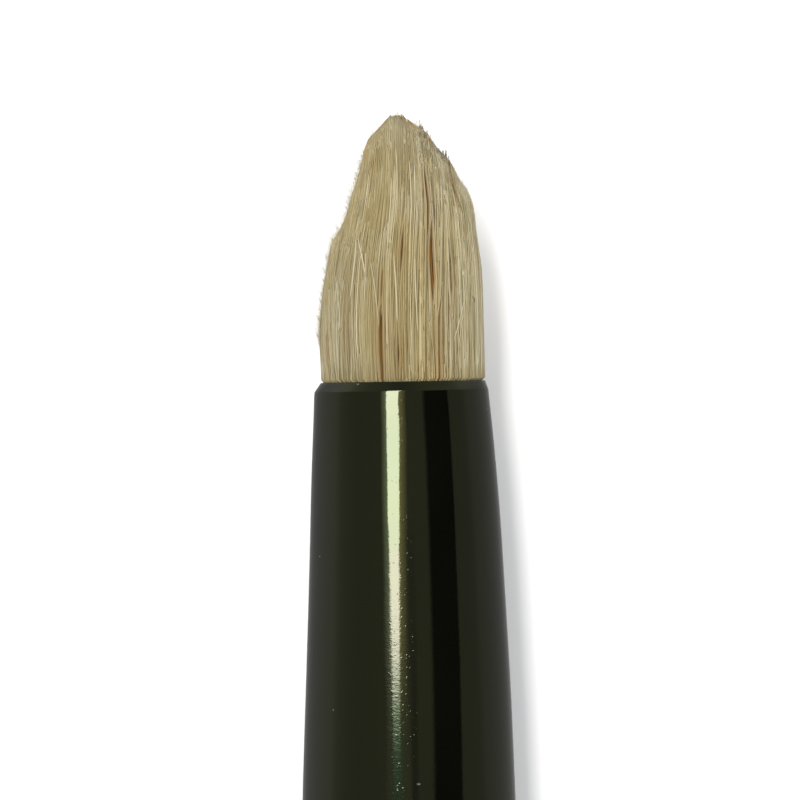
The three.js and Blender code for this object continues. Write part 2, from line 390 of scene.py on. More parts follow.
class Material(Nodes):
    """A node material, with short ways to add the nodes that the finishes here are made of."""

    def __init__(self, name, **values):
        self.material = bpy.data.materials.new(name)
        self.material.use_nodes = True
        super().__init__(self.material.node_tree)
        self.shader = self.node("ShaderNodeBsdfPrincipled")
        self.join((self.shader, "BSDF"), self.node("ShaderNodeOutputMaterial").inputs["Surface"])
        for socket, value in values.items():
            self.shader.inputs[socket.replace("_", " ")].default_value = value

    def place(self, scale=(1, 1, 1)):
        """Where a point is, in millimetres, stretched by scale along the row's axes."""
        move = self.node("ShaderNodeMapping")
        move.inputs["Scale"].default_value = [s / MM for s in scale]
        self.join((self.node("ShaderNodeTexCoord"), "Object"), move.inputs["Vector"])
        return move, "Vector"

    def noise(self, size, detail=3.0, rough=0.5, stretch=(1, 1, 1)):
        """Noise with features about size millimetres across."""
        made = self.node("ShaderNodeTexNoise")
        made.inputs["Scale"].default_value = 1.0 / size
        made.inputs["Detail"].default_value = detail
        made.inputs["Roughness"].default_value = rough
        self.join(self.place(stretch), made.inputs["Vector"])
        return made, "Fac"

    def specks(self, size, share, stretch=(1, 1, 1)):
        """1 inside sparse round specks and 0 elsewhere; share is how many cells hold one."""
        cells = self.node("ShaderNodeTexVoronoi")
        cells.inputs["Scale"].default_value = 1.0 / size
        self.join(self.place(stretch), cells.inputs["Vector"])
        near = self.node("ShaderNodeMapRange")
        near.inputs["From Min"].default_value = 0.22
        near.inputs["From Max"].default_value = 0.12
        self.join((cells, "Distance"), near.inputs["Value"])
        tell = self.node("ShaderNodeSeparateColor")
        self.join((cells, "Color"), tell.inputs["Color"])
        few = self.maths("LESS_THAN", (tell, "Red"), share)
        return self.maths("MULTIPLY", (near, "Result"), few)

    def between(self, axis, *ends):
        """The same as fade, in millimetres along one of the row's axes."""
        parts = self.node("ShaderNodeSeparateXYZ")
        self.join(self.place(), parts.inputs["Vector"])
        return self.fade((parts, axis), *ends)

    def attribute(self, name):
        made = self.node("ShaderNodeAttribute", attribute_name=name)
        return made, "Fac"

    def ramp(self, source, stops):
        """source read through a colour ramp of (position, colour) stops."""
        made = self.node("ShaderNodeValToRGB")
        line = made.color_ramp
        while len(line.elements) < len(stops):
            line.elements.new(0.5)
        for element, (position, colour) in zip(line.elements, stops):
            element.position = position
            element.color = (*colour, 1)
        self.join(source, made.inputs["Fac"])
        return made, "Color"

    def levels(self, source, low, high):
        made = self.node("ShaderNodeMapRange")
        made.inputs["To Min"].default_value = low
        made.inputs["To Max"].default_value = high
        self.join(source, made.inputs["Value"])
        return made, "Result"

    def mix(self, share, a, b, blend="MIX"):
        made = self.node("ShaderNodeMix", data_type="RGBA", blend_type=blend)
        # The colour sockets go by place, because the node's other kinds of socket share their names
        factor, colour_a, colour_b, result = 0, 6, 7, 2
        self.join(share, made.inputs[factor])
        for index, value in ((colour_a, a), (colour_b, b)):
            self.join(value if len(value) == 2 else [*value, 1], made.inputs[index])
        return made, result

    def bump(self, source, height):
        """Relief of the given height in millimetres, added under any that is already there."""
        made = self.node("ShaderNodeBump")
        made.inputs["Distance"].default_value = height * MM
        self.join(source, made.inputs["Height"])
        old = self.shader.inputs["Normal"].links
        if old:
            self.tree.links.new(old[0].from_socket, made.inputs["Normal"])
        self.drive("Normal", (made, "Normal"))

    def drive(self, socket, source):
        self.join(source, self.shader.inputs[socket])


def lacquer():
    """Near black olive green lacquer, polished, with a little dust, orange peel and turning marks."""
    m = Material("black_green_lacquer", IOR=1.45)
    m.shader.inputs["Specular Tint"].default_value = (0.95, 1.0, 0.52, 1)
    mottle = m.ramp(m.noise(9, 4), [(0.3, (0.0013, 0.0015, 0.0010)), (0.7, (0.0021, 0.0023, 0.0014))])
    dust = m.specks(0.4, 0.005, (0.5, 1, 1))
    m.drive("Base Color", m.mix(dust, mottle, (0.09, 0.095, 0.085)))
    m.drive("Roughness", m.levels(m.noise(2.5, 3), 0.035, 0.06))
    m.bump(m.noise(3.0, 2, 0.4), 0.003)
    m.bump(m.noise(0.9, 2, 0.5, (1, 0.05, 1)), 0.0016)
    m.bump(m.noise(0.75, 2, 0.5, (1, 0.8, 1)), 0.0024)

    # Rougher from handling further back from the lip, with small scuffs along the top
    handled = m.between("Y", LIP[1] / MM - 9, LIP[1] / MM - 22, 0.25, 1.0)
    m.bump(m.maths("MULTIPLY", m.noise(0.2, 3, 0.6, (0.9, 1.2, 0.9)), handled), 0.0026)
    scuffed = m.maths("MULTIPLY", m.between("X", -1.5, -0.5, 0, 1), m.between("X", 0.5, 1.4, 1, 0))
    scuffed = m.maths("MULTIPLY", scuffed, handled)
    m.bump(m.maths("MULTIPLY", m.specks(0.42, 0.6), scuffed), 0.0034)
    m.bump(m.maths("MULTIPLY", m.specks(0.27, 0.2), scuffed), 0.008)
    m.bump(dust, 0.006)
    return m.material


def horn():
    """Polished dark horn with faint brown streaks along the brush."""
    m = Material("dark_horn", IOR=1.54, Coat_Weight=0.4, Coat_Roughness=0.08)
    streaks = m.noise(1.1, 5, 0.6, (1, 0.18, 1))
    black, brown, tan = (0.006, 0.005, 0.004), (0.022, 0.014, 0.008), (0.07, 0.045, 0.025)
    m.drive("Base Color", m.ramp(streaks, [(0.35, black), (0.62, brown), (0.8, tan)]))
    m.drive("Roughness", m.levels(m.noise(0.5, 3), 0.18, 0.34))
    m.bump(streaks, 0.006)
    return m.material


def hair(name, dark, middle, light):
    """Dry animal hair. Each hair has its own tone, which also carries painted shade at the root and on the
    tuft's upper left, painted light towards its sides, and paler ends that are partly painted light; the
    hairs in the slits are golden brown, partly painted shade.
    """
    m = Material(name, Roughness=0.6, IOR=1.45)
    m.shader.inputs["Specular IOR Level"].default_value = 0.22
    fine = m.levels(m.noise(0.4, 3, 0.6, (1, 0.14, 1)), -0.05, 0.05)
    broad = m.levels(m.noise(1.9, 2, 0.5, (1, 0.22, 1)), -0.13, 0.13)
    tone = m.maths("ADD", m.maths("ADD", m.attribute("tone"), fine), broad)
    colour = m.ramp(tone, [(0.0, dark), (0.5, middle), (1.0, light)])
    cast = m.ramp(m.noise(4.5, 2, 0.5, (1, 0.3, 1)), [(0.35, (1.0, 0.96, 0.86)), (0.65, (0.98, 1.0, 1.04))])
    colour = m.mix(1.0, colour, cast, "MULTIPLY")
    # Golden brown down the slits: partly the hair's own colour, partly painted shade between the locks
    colour = m.mix(m.attribute("gold_and_slit_shade"), colour, (0.26, 0.115, 0.024))
    m.drive("Base Color", m.mix(m.attribute("soot"), colour, (0.03, 0.024, 0.018)))
    m.drive("Roughness", m.levels(m.noise(0.4, 2), 0.5, 0.7))
    return m.material


def packed_hair():
    """Golden brown hair packed tight, seen only down the slits between locks."""
    m = Material("packed_golden_hair", Roughness=0.7, IOR=1.45)
    m.shader.inputs["Specular IOR Level"].default_value = 0.2
    streaks = m.noise(0.16, 3, 0.6, (1, 0.06, 1))
    m.drive("Base Color", m.ramp(streaks, [(0.3, (0.34, 0.19, 0.06)), (0.7, (0.62, 0.42, 0.18))]))
    m.drive("Roughness", m.levels(m.noise(0.3, 2), 0.55, 0.8))
    m.bump(streaks, 0.05)
    return m.material


def waxed_thread():
    m = Material("waxed_linen", Roughness=0.6, Sheen_Weight=0.2)
    fibres = m.noise(0.12, 4, 0.6, (1, 0.4, 1))
    m.drive("Base Color", m.ramp(fibres, [(0.3, (0.44, 0.38, 0.26)), (0.7, (0.70, 0.65, 0.52))]))
    m.drive("Roughness", m.levels(fibres, 0.5, 0.75))
    m.bump(fibres, 0.02)
    return m.material


def seared_hair():
    m = Material("seared_hair_ends", Roughness=0.7)
    ends = m.noise(0.15, 3, 0.6)
    m.drive("Base Color", m.ramp(ends, [(0.35, (0.010, 0.006, 0.004)), (0.7, (0.05, 0.03, 0.017))]))
    m.drive("Roughness", m.levels(ends, 0.5, 0.85))
    m.bump(ends, 0.06)
    return m.material


def amber_glue():
    m = Material("amber_glue", IOR=1.52, Coat_Weight=0.5, Coat_Roughness=0.12)
    cloud = m.noise(1.6, 4, 0.5)
    m.drive("Base Color", m.ramp(cloud, [(0.35, (0.32, 0.16, 0.04)), (0.7, (0.52, 0.33, 0.10))]))
    m.drive("Roughness", m.levels(cloud, 0.15, 0.35))
    m.bump(cloud, 0.05)
    return m.material


def paper():
    """The plain pale table top."""
    m = Material("pale_table", Roughness=0.85)
    m.shader.inputs["Specular IOR Level"].default_value = 0.1
    m.drive("Base Color", m.ramp(m.noise(40, 2), [(0.3, (0.87, 0.87, 0.87)), (0.7, (0.89, 0.89, 0.89))]))
    return m.material


LACQUER = lacquer()
HORN = horn()


# ---------------------------------------------------------------- handle

def head_piece():
    low, high = span("barrel_head")
    y = np.linspace(low + 0.8, high - BEVEL_DEPTH - 0.15, 18)
    swell = spline([(v, cad_radius("barrel_head", v)) for v in y])
    edge = cad_radius("barrel_head", high - BEVEL_DEPTH - 0.02)
    lip = cad_radius("barrel_head", high - 0.01)
    back = cad_radius("barrel_head", low + 0.01)
    body = [(float(swell(v)), v) for v in np.linspace(y[0] + 0.3, y[-1] - 0.35, 140)]
    rear = rounded([
        (0, low + TENON_BORE_DEPTH, 0),
        (TENON_BORE_RADIUS, low + TENON_BORE_DEPTH, 0.2),
        (TENON_BORE_RADIUS, low, 0.15),
        (back, low, 0.35),
        (float(swell(y[0])), y[0], 0.3),
        (float(swell(y[0] + 0.3)), y[0] + 0.3, 0),
    ])
    front = rounded([
        (float(swell(y[-1] - 0.35)), y[-1] - 0.35, 0),
        (edge, high - BEVEL_DEPTH, 0.05),
        (lip, high, 0.05),
        (SOCKET_RADIUS, high, 0.04),
        (SOCKET_RADIUS, high - SOCKET_DEPTH, 0.4),
        (0, high - SOCKET_DEPTH, 0),
    ])

    bow = spline(OUT_OF_TRUE)

    def off_centre(v):
        return bow(v) + LIP_SHIFT * smoothstep(high - 0.9, high, v)

    return turned("lacquered_head", rear[:-1] + body + front[1:], LACQUER, 224, off_centre)


def collar_piece():
    """A rounded bead with a fine groove turned near each edge."""
    low, high = span("joint_collar")
    middle = (low + high) / 2
    outer = cad_radius("joint_collar", middle + 0.01)
    edge = cad_radius("joint_collar", low + 0.02)
    bore = TENON_BORE_RADIUS
    half = [(bore, low, 0.12), (edge - 0.03, low, 0.18), (outer - 0.12, low + 0.75, 0.2),
            (outer - 0.22, low + 0.92, 0.05), (outer - 0.08, low + 1.05, 0.08)]
    other = [(r, low + high - y, fillet) for r, y, fillet in reversed(half)]
    corners = half + [(outer, middle, 0.6)] + other + [half[0]]
    return turned("collar_bead", rounded(corners), HORN, 160)


def shaft_piece():
    low, high = span("shaft")
    front = shoulder_y("shaft", TENON_BORE_RADIUS)
    back_r = cad_radius("shaft", low + 0.5)
    front_r = cad_radius("shaft", front - 0.5)
    middle_r = cad_radius("shaft", (low + front) / 2)
    curve = spline([(low + 0.3, back_r), ((low + front) / 2, middle_r), (front - 0.3, front_r)])
    body = [(float(curve(v)), v) for v in np.linspace(low + 0.35, front - 0.35, 60)]
    rear = rounded([(0, low + TAIL_BORE_DEPTH, 0), (TAIL_BORE_RADIUS, low + TAIL_BORE_DEPTH, 0.2),
                    (TAIL_BORE_RADIUS, low, 0.1), (back_r - 0.03, low, 0.22), body[0] + (0,)])
    peg = HEAD_TENON_RADIUS
    nose = rounded([body[-1] + (0,), (front_r - 0.02, front, 0.22), (peg, front, 0.05),
                    (peg, high - 0.5, 0.1), (peg - 0.5, high, 0.1), (0, high, 0)])
    return turned("lacquered_shaft", rear[:-1] + body + nose[1:], LACQUER, 160)


def shoulder_y(node, tenon_radius):
    """y of the shoulder behind a tenon: the highest ring of points wider than the tenon."""
    co = cad_points(node)
    wide = co[np.hypot(co[:, 0], co[:, 2]) > tenon_radius]
    return float(wide[:, 1].max())


def ring_piece():
    low, high = span("tail_ring")
    outer = cad_radius("tail_ring", (low + high) / 2)
    bore = TAIL_BORE_RADIUS
    corners = [(bore, low, 0.1), (outer - 0.02, low, 0.3), (outer - 0.02, low + 1.0, 0.1),
               (outer - 0.16, low + 1.2, 0.1), (outer - 0.02, low + 1.4, 0.1), (outer - 0.02, high, 0.3),
               (bore, high, 0.1), (bore, low, 0.1)]
    return turned("tail_ring_band", rounded(corners), HORN, 140)


def finial_piece():
    """Tenon, waist and knob in one turned piece, drilled across the waist for the hanging cord."""
    low, high = span("tail_finial")
    front = shoulder_y("tail_finial", TAIL_TENON_RADIUS + 0.05)
    rows = np.linspace(low + 0.45, front - 0.25, 27)
    curve = spline([(v, cad_radius("tail_finial", v)) for v in rows[::2]])
    body = [(float(curve(v)), v) for v in np.linspace(rows[0], rows[-1], 90)]
    tail = rounded([(0, low, 0), (body[0][0] - 0.2, low, 0.2), body[0] + (0,)])
    peg = TAIL_TENON_RADIUS
    tenon = rounded([body[-1] + (0,), (body[-1][0], front, 0.12), (peg, front, 0.05), (peg, high - 0.3, 0.1),
                     (peg - 0.3, high, 0.08), (0, high, 0)])
    knob = turned("finial_knob", tail[:-1] + body + tenon[1:], LACQUER, 160)
    rod = [(0, -8), (CORD_HOLE_RADIUS, -8), (CORD_HOLE_RADIUS, 8), (0, 8)]
    drill = turned("drill", rod, LACQUER, 48)
    drill.data.transform(Matrix.Translation(-Vector(LIP)))
    drill.data.transform(Matrix.Rotation(math.pi / 2, 4, "Z"))
    drill.data.transform(Matrix.Translation(Vector(to_world((0, CORD_HOLE_Y, 0)))))
    cut = knob.modifiers.new("cord_hole", "BOOLEAN")
    cut.operation = "DIFFERENCE"
    cut.object = drill
    bpy.context.view_layer.update()
    seen = knob.evaluated_get(bpy.context.evaluated_depsgraph_get())
    mesh = bpy.data.meshes.new_from_object(seen)
    knob.modifiers.clear()
    knob.data = mesh
    bpy.data.objects.remove(drill)
    sharpen(mesh)
    return knob


def binding_piece():
    """The waxed thread round the root: two plies twisted together, wound in a close helix."""
    turns, pitch, start, centre = 5, 0.95, -11.6, 4.8
    steps, sides = 420, 7
    t = np.linspace(0, 1, steps)
    angle = 2 * math.pi * turns * t
    points, faces = [], []
    for ply in (0, math.pi):
        twist = 2 * math.pi * 34 * t + ply
        reach = centre + 0.13 * np.cos(twist)
        y = start + pitch * turns * t + 0.13 * np.sin(twist)
        k = np.arange(sides) * 2 * math.pi / sides
        r = reach[:, None] + 0.15 * np.cos(k)
        across, up = r * np.cos(angle)[:, None], r * np.sin(angle)[:, None]
        first = len(points)
        points.extend(np.stack([across, y[:, None] + 0.15 * np.sin(k), up], axis=-1).reshape(-1, 3))
        for i in range(steps - 1):
            a, b = first + i * sides, first + (i + 1) * sides
            faces += [[a + j, b + j, b + (j + 1) % sides, a + (j + 1) % sides] for j in range(sides)]
        faces.append([first + j for j in range(sides)])
        faces.append([first + (steps - 1) * sides + j for j in reversed(range(sides))])
    mesh = mesh_of("root_binding", np.array(points), faces)
    sharpen(mesh, 60)
    return new_object("root_binding", mesh, waxed_thread())


for piece, node in (
    (head_piece(), "barrel_head"),
    (collar_piece(), "joint_collar"),
    (shaft_piece(), "shaft"),
    (ring_piece(), "tail_ring"),
    (finial_piece(), "tail_finial"),
    (binding_piece(), "root_thread"),
):
    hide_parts(node)
    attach(piece, "handle")

for node, material in (("seared_root", seared_hair()), ("glue_cup", amber_glue())):
    mesh = frame["nodes"][node].data
    mesh.materials.clear()
    mesh.materials.append(material)


# ---------------------------------------------------------------- tuft

left = spline(REACH_LEFT)
right = spline(REACH_RIGHT)
deep = spline(REACH_DEEP)
path_left = spline(PATH_LEFT)
path_right = spline(PATH_RIGHT)
trim = spline(TRIM)


def outline(y):
    """Centre, half width and half depth of the tuft at heights y over the lip."""
    return (right(y) - left(y)) / 2, (right(y) + left(y)) / 2, deep(y)


def flow(share, angle, y):
    """Where a hair runs that leaves the lip at this share of its radius and at this angle."""
    share_x, share_z = share * np.sin(angle), share * np.cos(angle)
    x = (path_right(y) - path_left(y)) / 2 + share_x * (path_right(y) + path_left(y)) / 2
    z = share_z * deep(y)
    root = ROOT_RADIUS + (SOCKET_RADIUS - 0.1 - ROOT_RADIUS) * smoothstep(ROOT_TOP_Y, 0, y)
    mouth = smoothstep(-0.06, MOUTH_TOP, y)
    root_x = share_x * root + LIP_SHIFT * smoothstep(-3, 0, y)
    return root_x + (x - root_x) * mouth, share_z * root + (z - share_z * root) * mouth


def skin(x, y):
    """Height of the tuft's upper skin over the axis."""
    centre, half, depth = outline(y)
    return depth * np.sqrt(np.clip(1 - ((x - centre) / half)**2, 0.0, 1))


def part_hairs(angle, y):
    """Hairs moved aside, along the tuft's skin, where it opens in a slit, and how golden brown
    the hairs are that show down the slit, which is partly painted shade between the locks. A hair stays on
    its own side of a slit all along."""
    moved = angle
    gold_and_slit_shade = np.zeros_like(angle)
    for low_deg, high_deg, y_low, y_high, width in SLITS:
        along = np.clip((y - y_low) / (y_high - y_low), 0, 1)
        middle = np.radians(low_deg + (high_deg - low_deg) * along)
        off = (moved - middle + math.pi) % (2 * math.pi) - math.pi
        window = smoothstep(y_low - 1.2, y_low + 0.8, y) * (1 - smoothstep(y_high - 2.0, y_high + 0.4, y))
        side = np.where((off * window).sum(axis=1, keepdims=True) > 0, 1.0, -1.0)
        away = np.maximum(side * off, 0)
        clear = np.sqrt(away**2 + np.radians(width)**2 * np.exp(-away / np.radians(3)))
        near = window * (side * off > -np.radians(4)) * (away < np.radians(20))
        moved = moved + near * (side * clear - off)
        # Golden brown near each slit: partly the hair's colour, partly painted shade between the locks
        gold_and_slit_shade = np.maximum(gold_and_slit_shade, window * np.exp(-(off / np.radians(1.6 + width))**2))
    return moved, gold_and_slit_shade


def tubes(name, x, y, z, radius, shades, material):
    """Hairs as slim three sided tubes, a little flattened where they lie on one another. x, y, z
    and radius are arrays of hairs by points, and shades are their named attributes."""
    count, points = x.shape
    sides = 3
    centre, half, depth = outline(np.maximum(y, 0))
    out_x, out_z = (x - centre) / half**2, z / depth**2
    length = np.maximum(np.hypot(out_x, out_z), 1e-6)
    out_x, out_z = (out_x / length)[:, :, None], (out_z / length)[:, :, None]
    twist = 0.3 * np.sin(np.arange(count) * 2.399)[:, None, None]
    turn = np.radians([30.0, 150.0, 270.0]) + twist
    wide = 1.3 * radius[:, :, None] * np.cos(turn)
    tall = 0.48 * radius[:, :, None] * np.sin(turn)
    ring_x = x[:, :, None] + out_z * wide + out_x * tall
    ring_z = z[:, :, None] - out_x * wide + out_z * tall
    ring_y = np.repeat(y[:, :, None], sides, axis=2)
    co = np.stack([ring_x, ring_y, ring_z], axis=-1).reshape(-1, 3)
    first = (np.arange(count) * points * sides)[:, None, None]
    step = (np.arange(points - 1) * sides)[None, :, None]
    k = np.arange(sides)[None, None, :]
    n = (k + 1) % sides
    corners = [first + step + k, first + step + sides + k, first + step + sides + n, first + step + n]
    quads = np.stack(corners, axis=-1).reshape(-1, 4)
    quads = quads[:, ::-1]
    low_end = first[:, 0] + np.array([2, 1, 0])
    high_end = first[:, 0] + (points - 1) * sides + np.array([0, 1, 2])
    ends = np.concatenate([low_end, high_end])
    loops = np.concatenate([quads.ravel(), ends.ravel()])
    starts = np.concatenate([np.arange(len(quads)) * 4, len(quads) * 4 + np.arange(len(ends)) * 3])
    mesh = bpy.data.meshes.new(name)
    mesh.vertices.add(len(co))
    mesh.vertices.foreach_set("co", to_world(co).ravel())
    mesh.loops.add(len(loops))
    mesh.loops.foreach_set("vertex_index", loops.astype(np.int32))
    mesh.polygons.add(len(starts))
    mesh.polygons.foreach_set("loop_start", starts.astype(np.int32))
    mesh.update(calc_edges=True)
    mesh.shade_smooth()
    for label, values in shades.items():
        layer = mesh.attributes.new(label, "FLOAT", "POINT")
        each = np.repeat(np.broadcast_to(values, x.shape).ravel(), sides)
        layer.data.foreach_set("value", each.astype(np.float32))
    lay_out(mesh, count, points, sides)
    return new_object(name, mesh, material)


def lay_out(mesh, count, points, sides):
    """A flat layout with one cell for each hair, so that a baked map keeps every hair's own colour."""
    grid = math.ceil(math.sqrt(count))
    hair_number = np.arange(count)
    cell = np.stack([hair_number % grid, hair_number // grid], axis=-1)
    k = np.arange(sides)
    s = np.arange(points - 1)[:, None]
    shape = (points - 1, sides, 4)
    u = np.broadcast_to(np.stack([k, k, k + 1, k + 1], axis=-1) / sides, shape)
    v = np.broadcast_to(np.stack([s, s + 1, s + 1, s], axis=-1) / (points - 1), shape)
    inside = np.stack([u, v], axis=-1)
    uv = (cell[:, None, None, None, :] + 0.1 + 0.8 * inside[None]) / grid
    caps = np.concatenate([(cell + [0.5, 0.12]) / grid, (cell + [0.5, 0.88]) / grid])
    uv = np.concatenate([uv.reshape(-1, 2), np.repeat(caps, 3, axis=0)])
    layer = mesh.uv_layers.new(name="OFBake")
    layer.data.foreach_set("uv", uv.astype(np.float32).ravel())


def heights(ends):
    """The heights of a hair's points: five in the socket and its mouth, the rest up to its end."""
    root = np.repeat([[ROOT_END_Y, -6.0, -2.5, 0, MOUTH_TOP]], len(ends), axis=0)
    free = MOUTH_TOP + (ends[:, None] - MOUTH_TOP) * np.array(ALONG_HAIR)
    return np.concatenate([root, free], axis=1)


def outline_exit(share, angle):
    """Height at which each hair would leave the tuft's outline, seen from the front."""
    grid = np.linspace(6, TIP_Y, 160)
    x, _ = flow(share[:, None], angle[:, None], grid[None, :])
    centre, half, _ = outline(grid)
    out = (np.abs(x - centre) > half) | (grid > trim(x))
    return np.where(out.any(axis=1), grid[np.argmax(out, axis=1)], TIP_Y)


def hair_bundle(name, count, shares, locks, seed, tone_at, thick, kind, material, slot):
    """A ring of hairs between two shares of the tuft's radius, gathered into locks. They run to the
    trimmed end of the tuft, or with kind "tips" end lower down, each lock drawn to a point."""
    rng = np.random.default_rng(seed)
    share = np.sqrt(rng.uniform(shares[0]**2, shares[1]**2, count))
    angle = rng.uniform(-math.pi, math.pi, count)
    lock_share = np.sqrt(rng.uniform(shares[0]**2, shares[1]**2, locks))
    lock_angle = rng.uniform(-math.pi, math.pi, locks)
    apart_x = (share * np.sin(angle))[:, None] - lock_share * np.sin(lock_angle)
    apart_z = (share * np.cos(angle))[:, None] - lock_share * np.cos(lock_angle)
    lock = np.argmin(apart_x**2 + apart_z**2, axis=1)
    tips = kind == "tips"

    def each():
        return rng.normal(0, 1, (count, 1))

    def each_lock():
        return rng.normal(0, 1, locks)[lock][:, None]

    ends = outline_exit(share, angle) + 0.10 * each()[:, 0] + 0.10 * each_lock()[:, 0]
    lock_end = rng.uniform(3.5, 18, locks)[lock] + rng.normal(0, 0.45, count)
    ends = np.minimum(lock_end, ends) if tips else ends
    ends = ends - np.where(rng.random(count) < 0.2, rng.exponential(0.7, count), 0)
    ends = np.clip(ends, 2, TIP_Y + 0.25)
    y = heights(ends)
    above = np.maximum(y, 0)
    t = above / ends[:, None]

    home = lock_angle[lock][:, None]
    off = (angle[:, None] - home + math.pi) % (2 * math.pi) - math.pi
    wander = (0.0028 * each_lock() + 0.0022 * each()) * above
    around = home + off * (1 - (0.8 * t**2 if tips else 0.45 * smoothstep(0, 0.8, t))) + wander
    parted, gold_and_slit_shade = part_hairs(around, y)
    skin_deep = shares[1] >= 1
    around = parted if skin_deep else around
    lift = 1 + (0.011 * each_lock() + 0.004 * each()) * smoothstep(0, 3, above)
    x, z = flow(share[:, None] * lift, around, y)
    sway = 0.012 * each() * np.sin(y / rng.uniform(1.2, 4, (count, 1)) + rng.uniform(0, 6, (count, 1)))
    x = x + sway * smoothstep(0, 4, y)
    centre, half, _ = outline(above)
    room = half - 0.09 - np.abs(0.05 * each())
    x = np.where(y > 0.2, centre + np.clip(x - centre, -room, room), x)
    roof = skin(x, above) * (0.988 + 0.006 * each() + (0.012 * t if tips else 0))
    z = np.where(y > 0, np.clip(z, -roof, roof), z)

    width = thick * HAIR_RADIUS * np.exp(0.28 * each())
    radius = width * (1 - 0.35 * smoothstep(0.5, 1, t)) * (1 - 0.5 * smoothstep(0.93, 1, t))
    odd = rng.random((count, 1))
    tone = tone_at + 0.08 * each_lock() + 0.03 * each() + np.where(odd < 0.05, 0.3, 0)
    # Painted shade: hairs darker just above the lip and inside the socket
    tone = tone - np.where(odd > 0.96, 0.12, 0) - 0.16 * (1 - smoothstep(0, 1.0, y))
    tone = tone + (0.2 * smoothstep(0.55, 1, t) if tips else 0)
    # Painted light: hairs paler towards the tuft's sides; the paler ends are partly the hair's own colour
    # and partly painted light shining through them
    tone = tone + 0.14 * smoothstep(0.5, 1, np.abs(x - centre) / half) + 0.2 * smoothstep(0.9, 1, t)
    # Painted shade: darker over the upper left of the tuft, which faces the key
    tone = tone - 0.12 * smoothstep(0, 0.6, (centre - x) / half) * smoothstep(4, 9, y)
    dark_end = (rng.random((count, 1)) < 0.45) & (np.abs(x[:, -1:] - 2.9) < 1.2) & (ends[:, None] > 15.5)
    soot = np.where(dark_end & (not tips), 0.75, 0.0) * (t > 0.98)
    warmth = np.clip(0.08 * each_lock(), 0, 0.25) if skin_deep else np.clip(0.06 + 0.1 * each_lock(), 0, 0.4)
    # Slit gold, partly painted shade, a little on the outer hairs and fully on those beneath; warmth is each
    # lock's own golden tone
    gold_and_slit_shade = np.maximum(gold_and_slit_shade * (0.3 if skin_deep else 1.0), 0 if tips else warmth)
    shades = {"tone": np.clip(tone, 0, 1), "soot": soot, "gold_and_slit_shade": gold_and_slit_shade}
    return tubes(name, x, y, z, radius, shades, material)


def loose_hairs():
    """The hairs of STRAYS, lying on the front of the tuft with their ends tucked in."""
    t = np.linspace(0, 1, 14)
    rows = []
    for x0, y0, x1, y1, bow, tone, thick in STRAYS:
        arc = np.sin(math.pi * t)
        x = x0 + (x1 - x0) * t + bow * arc
        y = y0 + (y1 - y0) * t
        z = skin(x, y) + 0.07 * arc**0.5 - 0.05
        radius = thick * HAIR_RADIUS * (0.4 + 0.5 * arc**0.5)
        rows.append((x, y, z, radius, np.full_like(t, max(tone, 0)), np.full_like(t, max(-tone, 0))))
    x, y, z, radius, tone, soot = (np.array(column) for column in zip(*rows))
    shades = {"tone": tone, "soot": soot, "gold_and_slit_shade": np.zeros_like(x)}
    return tubes("loose_hairs", x, y, z, radius, shades, PALE_HAIR)


def fringe(count=2300):
    """Fine pale ends that stand out past the outline, most of them on the left."""
    rng = np.random.default_rng(51)
    on_left = rng.random(count) < 0.62
    y_edge = rng.uniform(3, 17.5, count)
    x_top = rng.uniform(-2.7, 5.3, count)
    x0 = np.where(on_left, -left(y_edge) + 0.5, x_top)
    y0 = np.where(on_left, y_edge - 1.3, trim(x_top) - 1.5)
    out = rng.exponential(0.15 + 0.09 * smoothstep(8, 12, y_edge), count) - 0.1
    x1 = np.where(on_left, -left(y_edge) - np.minimum(out, 0.5), x_top + rng.normal(0.02, 0.12, count))
    y1 = np.where(on_left, y_edge + rng.uniform(-0.2, 0.5, count), trim(x1) + np.minimum(out, 0.5))
    t = np.linspace(0, 1, 7)[None, :]
    x = x0[:, None] + (x1 - x0)[:, None] * t**1.2
    y = y0[:, None] + (y1 - y0)[:, None] * t
    z = rng.uniform(-0.8, 1.6, (count, 1)) * (1 - 0.5 * t)
    dark = (rng.random((count, 1)) < 0.4) & (np.abs(x[:, -1:] - 2.9) < 1.2)
    radius = np.where(dark, 0.06, rng.uniform(0.018, 0.036, (count, 1)) * (1 - 0.6 * t))
    shades = {
        "tone": rng.uniform(0.6, 1.0, (count, 1)),
        "soot": np.where(dark, 0.9, 0.0) * (t > 0.85),
        "gold_and_slit_shade": np.zeros((count, 1)),
    }
    return tubes("fringe_hairs", x, y, z, radius, shades, PALE_HAIR)


